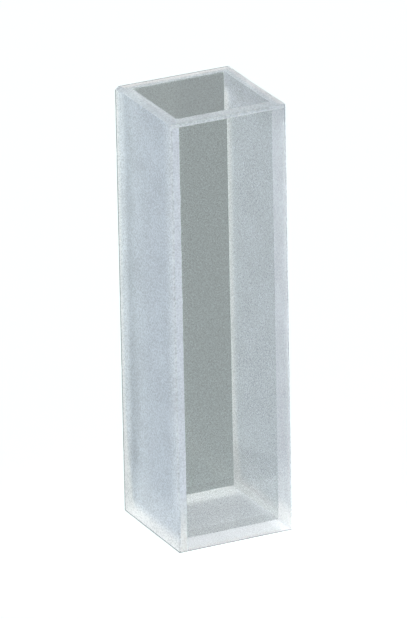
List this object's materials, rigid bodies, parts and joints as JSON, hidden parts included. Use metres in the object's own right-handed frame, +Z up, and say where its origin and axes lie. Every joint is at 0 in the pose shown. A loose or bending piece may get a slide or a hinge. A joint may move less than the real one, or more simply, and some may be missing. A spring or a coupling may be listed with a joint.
{
  "type": "cuvette",
  "caption": "Square glass cell, open at the top, with two polished windows and two ground sides round a narrow well.",
  "frame": {"origin": "middle of the underside, on the surface that the cell stands on", "axes": "+Z up along the height, +Y along the light path from the front window to the rear window, +X from the left ground side to the right one"},
  "size_m": [0.0126, 0.0126, 0.045],
  "materials": {
    "window_glass": "polished inside and out",
    "side_glass": "fine ground outside, polished inside",
    "base_glass": "fine ground underneath, polished inside"
  },
  "bodies": {
    "root": {"front_window": "window_glass", "rear_window": "window_glass", "left_side": "side_glass", "right_side": "side_glass", "base_plate": "base_glass"}
  },
  "joints": []
}
